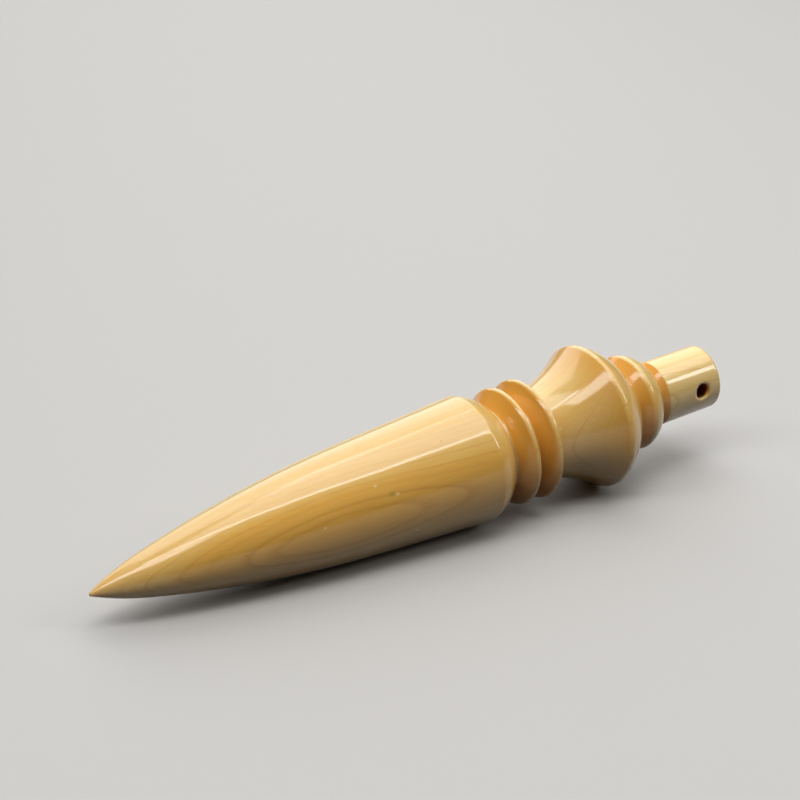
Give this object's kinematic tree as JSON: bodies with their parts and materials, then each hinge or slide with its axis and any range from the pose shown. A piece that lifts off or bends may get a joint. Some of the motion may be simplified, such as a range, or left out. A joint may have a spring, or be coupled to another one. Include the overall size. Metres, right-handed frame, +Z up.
{
  "type": "turned wooden pendulum bob",
  "caption": "Turned wooden bob with a pointed bullet body, thin rings, a flared bell, a bead and a cross-drilled stem, which hangs tip down from a cord.",
  "frame": {"origin": "on the floor, below the middle of the box of the bob as it lies on its side", "axes": "+X runs level from the tip towards the stem, +Z is up; the bob lies on its bell's edge and the side of its body, so its own axis leans 3.7 degrees, tip down"},
  "size_m": [0.11, 0.023, 0.023],
  "materials": {
    "lacquered_wood": "pale close-grained hardwood under glossy clear lacquer, darker and more orange on end grain"
  },
  "bodies": {
    "root": {"turned_bob": "lacquered_wood"}
  },
  "joints": []
}
